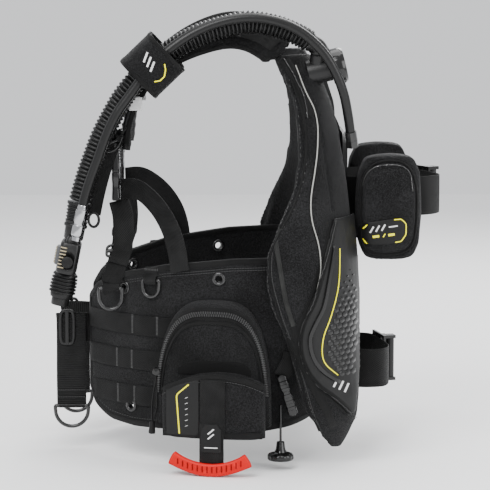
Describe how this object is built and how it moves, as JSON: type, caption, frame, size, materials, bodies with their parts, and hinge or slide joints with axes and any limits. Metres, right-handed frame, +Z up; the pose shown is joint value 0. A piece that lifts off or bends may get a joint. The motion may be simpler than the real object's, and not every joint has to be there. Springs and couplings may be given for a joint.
{
  "type": "buoyancy compensator vest",
  "caption": "Diver's jacket-style buoyancy vest with side lobes, padded shoulders, waist panels with weight pouches, an inflator on a corrugated hose, and cylinder bands.",
  "frame": {"origin": "middle of the back plate's flat rear rib, where the cylinder rests", "axes": "+X to the rear, towards the cylinder; the wearer faces -X, their left side is -Y; +Z up"},
  "size_m": [0.5012, 0.4578, 0.5627],
  "materials": {
    "cordura": "coated woven nylon, matt, with a fine basket weave",
    "lining": "knitted spacer mesh over foam",
    "armour_rubber": "moulded rubberised sheet with a cell pattern",
    "webbing": "polyester webbing with a twill rib",
    "hose_rubber": "semi-gloss moulded rubber",
    "gloss_plastic": "polished black moulding",
    "matte_plastic": "fine spark-eroded black moulding",
    "red_plastic": "bright red moulding",
    "steel": "polished stainless wire",
    "chrome": "chromed brass, bright"
  },
  "bodies": {
    "vest": {"armour_left": "armour_rubber", "armour_right": "armour_rubber", "back_pad": "lining", "back_plate": "matte_plastic", "belt_strap_left": "webbing", "belt_strap_right": "webbing", "buckle_socket_left": "matte_plastic", "buckle_socket_right": "matte_plastic", "cam_frame_lower": "matte_plastic", "cam_frame_upper": "matte_plastic", "cargo_pocket_left": "cordura", "cargo_pocket_right": "cordura", "corrugated_hose": "hose_rubber", "elbow_cap": "gloss_plastic", "front_strap_left": "webbing", "front_strap_right": "webbing", "hose_cuff": "hose_rubber", "hose_elbow": "gloss_plastic", "hose_wrap": "webbing", "inflator_body": "matte_plastic", "lp_fitting": "chrome", "lp_hose": "hose_rubber", "mouthpiece": "hose_rubber", "quick_disconnect": "chrome", "rear_strap_left": "webbing", "rear_strap_right": "webbing", "shoulder_strap_left": "cordura", "shoulder_strap_right": "cordura", "side_adjuster_left": "gloss_plastic", "side_adjuster_right": "gloss_plastic", "tank_band_lower": "webbing", "tank_band_upper": "webbing", "trim_pouch_left": "cordura", "trim_pouch_right": "cordura", "waist_panel_left": "cordura", "waist_panel_right": "cordura", "weight_sleeve_left": "cordura", "weight_sleeve_right": "cordura", "wing_left": "cordura", "wing_right": "cordura", "wing_yoke": "cordura"},
    "inflate_button": {"inflate_button": "hose_rubber"},
    "deflate_button": {"deflate_button": "steel"},
    "buckle_plug_left": {"buckle_plug_left": "matte_plastic"},
    "buckle_plug_right": {"buckle_plug_right": "matte_plastic"},
    "chest_ring_left": {"chest_ring_left": "steel"},
    "chest_ring_right": {"chest_ring_right": "steel"},
    "panel_ring_left": {"panel_ring_left": "steel"},
    "panel_ring_right": {"panel_ring_right": "steel"},
    "belt_ring_left": {"belt_ring_left": "steel"},
    "belt_ring_right": {"belt_ring_right": "steel"},
    "zip_slider": {"zip_slider_left": "matte_plastic"},
    "zip_pull": {"zip_pull_left": "webbing"},
    "weight_left": {"weight_pouch_left": "cordura", "rip_handle_left": "red_plastic"},
    "weight_right": {"weight_pouch_right": "cordura", "rip_handle_right": "red_plastic"},
    "dump_knob": {"dump_knob": "gloss_plastic"},
    "cam_lever_upper": {"cam_lever_upper": "matte_plastic"},
    "cam_lever_lower": {"cam_lever_lower": "matte_plastic"}
  },
  "joints": [
    {"name": "inflate_press", "type": "slide", "parent": "vest", "child": "inflate_button", "axis": [0, 1, 0], "range_m": [0, 0.003], "stiffness_N_per_m": 600},
    {"name": "deflate_press", "type": "slide", "parent": "vest", "child": "deflate_button", "axis": [0.9796, 0, -0.2011], "range_m": [0, 0.003], "stiffness_N_per_m": 600},
    {"name": "weight_release_left", "type": "slide", "parent": "vest", "child": "weight_left", "axis": [0, 0, -1], "range_m": [0, 0.095]},
    {"name": "weight_release_right", "type": "slide", "parent": "vest", "child": "weight_right", "axis": [0, 0, -1], "range_m": [0, 0.095]},
    {"name": "dump_pull", "type": "slide", "parent": "vest", "child": "dump_knob", "axis": [0, 0, -1], "range_m": [0, 0.02], "stiffness_N_per_m": 300, "springref_m": -0.004},
    {"name": "cam_open_upper", "type": "hinge", "parent": "vest", "child": "cam_lever_upper", "pos_m": [0.11455, 0.01986, 0.11], "axis": [0, 0, -1], "range_deg": [0, 110]},
    {"name": "cam_open_lower", "type": "hinge", "parent": "vest", "child": "cam_lever_lower", "pos_m": [0.06081, 0.01578, -0.112], "axis": [0, 0, -1], "range_deg": [0, 110]},
    {"name": "zip_run", "type": "slide", "parent": "vest", "child": "zip_slider", "axis": [0, 0, 1], "range_m": [0, 0.04]},
    {"name": "zip_pull_swing", "type": "hinge", "parent": "zip_slider", "child": "zip_pull", "pos_m": [-0.24296, -0.15987, -0.1054], "axis": [-0.898, 0.4399, 0], "range_deg": [0, 80]},
    {"name": "buckle_release_left", "type": "slide", "parent": "vest", "child": "buckle_plug_left", "axis": [0, 0, 1], "range_m": [0, 0.02]},
    {"name": "chest_ring_swing_left", "type": "hinge", "parent": "vest", "child": "chest_ring_left", "pos_m": [-0.3, -0.117, -0.0005], "axis": [-1, 0, 0], "range_deg": [0, 90]},
    {"name": "panel_ring_swing_left", "type": "hinge", "parent": "vest", "child": "panel_ring_left", "pos_m": [-0.2494, -0.13578, 0.013], "axis": [-0.8713, 0.4907, 0], "range_deg": [0, 90]},
    {"name": "belt_ring_swing_left", "type": "hinge", "parent": "vest", "child": "belt_ring_left", "pos_m": [-0.354, -0.049, -0.1628], "axis": [-1, 0, 0], "range_deg": [-75, 75]},
    {"name": "buckle_release_right", "type": "slide", "parent": "vest", "child": "buckle_plug_right", "axis": [0, 0, 1], "range_m": [0, 0.02]},
    {"name": "chest_ring_swing_right", "type": "hinge", "parent": "vest", "child": "chest_ring_right", "pos_m": [-0.3, 0.117, -0.0005], "axis": [1, 0, 0], "range_deg": [0, 90]},
    {"name": "panel_ring_swing_right", "type": "hinge", "parent": "vest", "child": "panel_ring_right", "pos_m": [-0.2494, 0.13578, 0.013], "axis": [0.8713, 0.4907, 0], "range_deg": [0, 90]},
    {"name": "belt_ring_swing_right", "type": "hinge", "parent": "vest", "child": "belt_ring_right", "pos_m": [-0.354, 0.049, -0.1628], "axis": [1, 0, 0], "range_deg": [-75, 75]}
  ]
}
